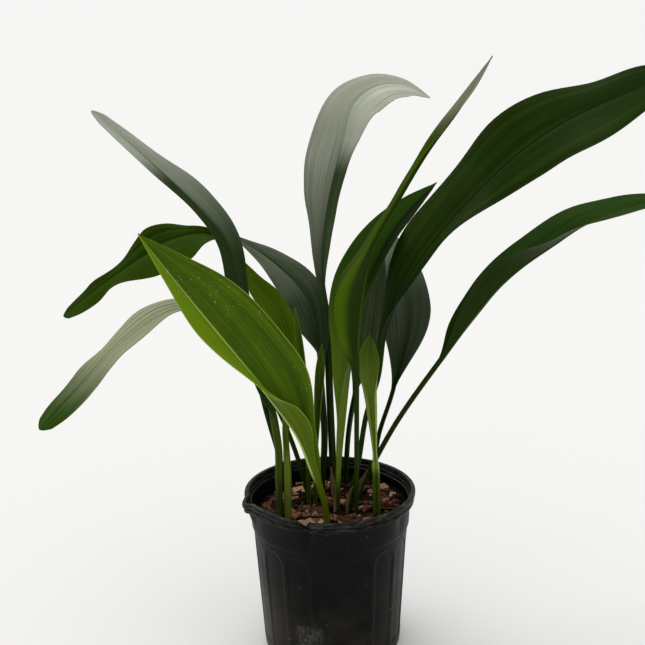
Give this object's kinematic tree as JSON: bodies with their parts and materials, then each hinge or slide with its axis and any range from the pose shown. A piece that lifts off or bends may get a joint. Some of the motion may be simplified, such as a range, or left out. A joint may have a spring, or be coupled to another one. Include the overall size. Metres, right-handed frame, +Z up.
{
  "type": "potted cast iron plant",
  "caption": "Clump of long arching strap leaves on slim stems, growing in bark mix in a round black nursery pot with a rolled lip and arched panels.",
  "frame": {"origin": "centre of the pot's flat underside, where it meets the surface that it stands on", "axes": "+Z up, +X to the viewer's right in the picture and along the plant's longest spread, +Y away from the viewer"},
  "size_m": [0.8524, 0.3842, 0.7595],
  "materials": {
    "pot_plastic": "satin near-black moulded plastic, dusty low down",
    "bark_soil": "dark damp bark mix with reddish-brown and tan chips",
    "leaf_dark": "semi-gloss leathery leaf with fine parallel veins",
    "leaf_bright": "semi-gloss lighter leaf with a yellow-green midrib",
    "leaf_young": "soft satin rolled young leaf",
    "dry_sheath": "dry papery sheath"
  },
  "bodies": {
    "root": {"pot": "pot_plastic", "bark_soil": "bark_soil", "leaf_left_arching": "leaf_dark", "leaf_centre_left": "leaf_dark", "leaf_right_folded": "leaf_dark", "leaf_right_broad": "leaf_dark", "leaf_right_inner": "leaf_dark", "leaf_right_low": "leaf_dark", "leaf_right_back": "leaf_dark", "leaf_left_low": "leaf_dark", "leaf_left_upper": "leaf_dark", "leaf_centre_tall": "leaf_dark", "leaf_front_left": "leaf_bright", "leaf_left_inner": "leaf_bright", "leaf_right_narrow": "leaf_bright", "young_leaf_right": "leaf_young", "young_leaf_left": "leaf_young", "young_leaf_centre": "leaf_young", "sheath_left": "dry_sheath", "sheath_front": "dry_sheath", "sheath_right": "dry_sheath", "sheath_back": "dry_sheath"}
  },
  "joints": []
}
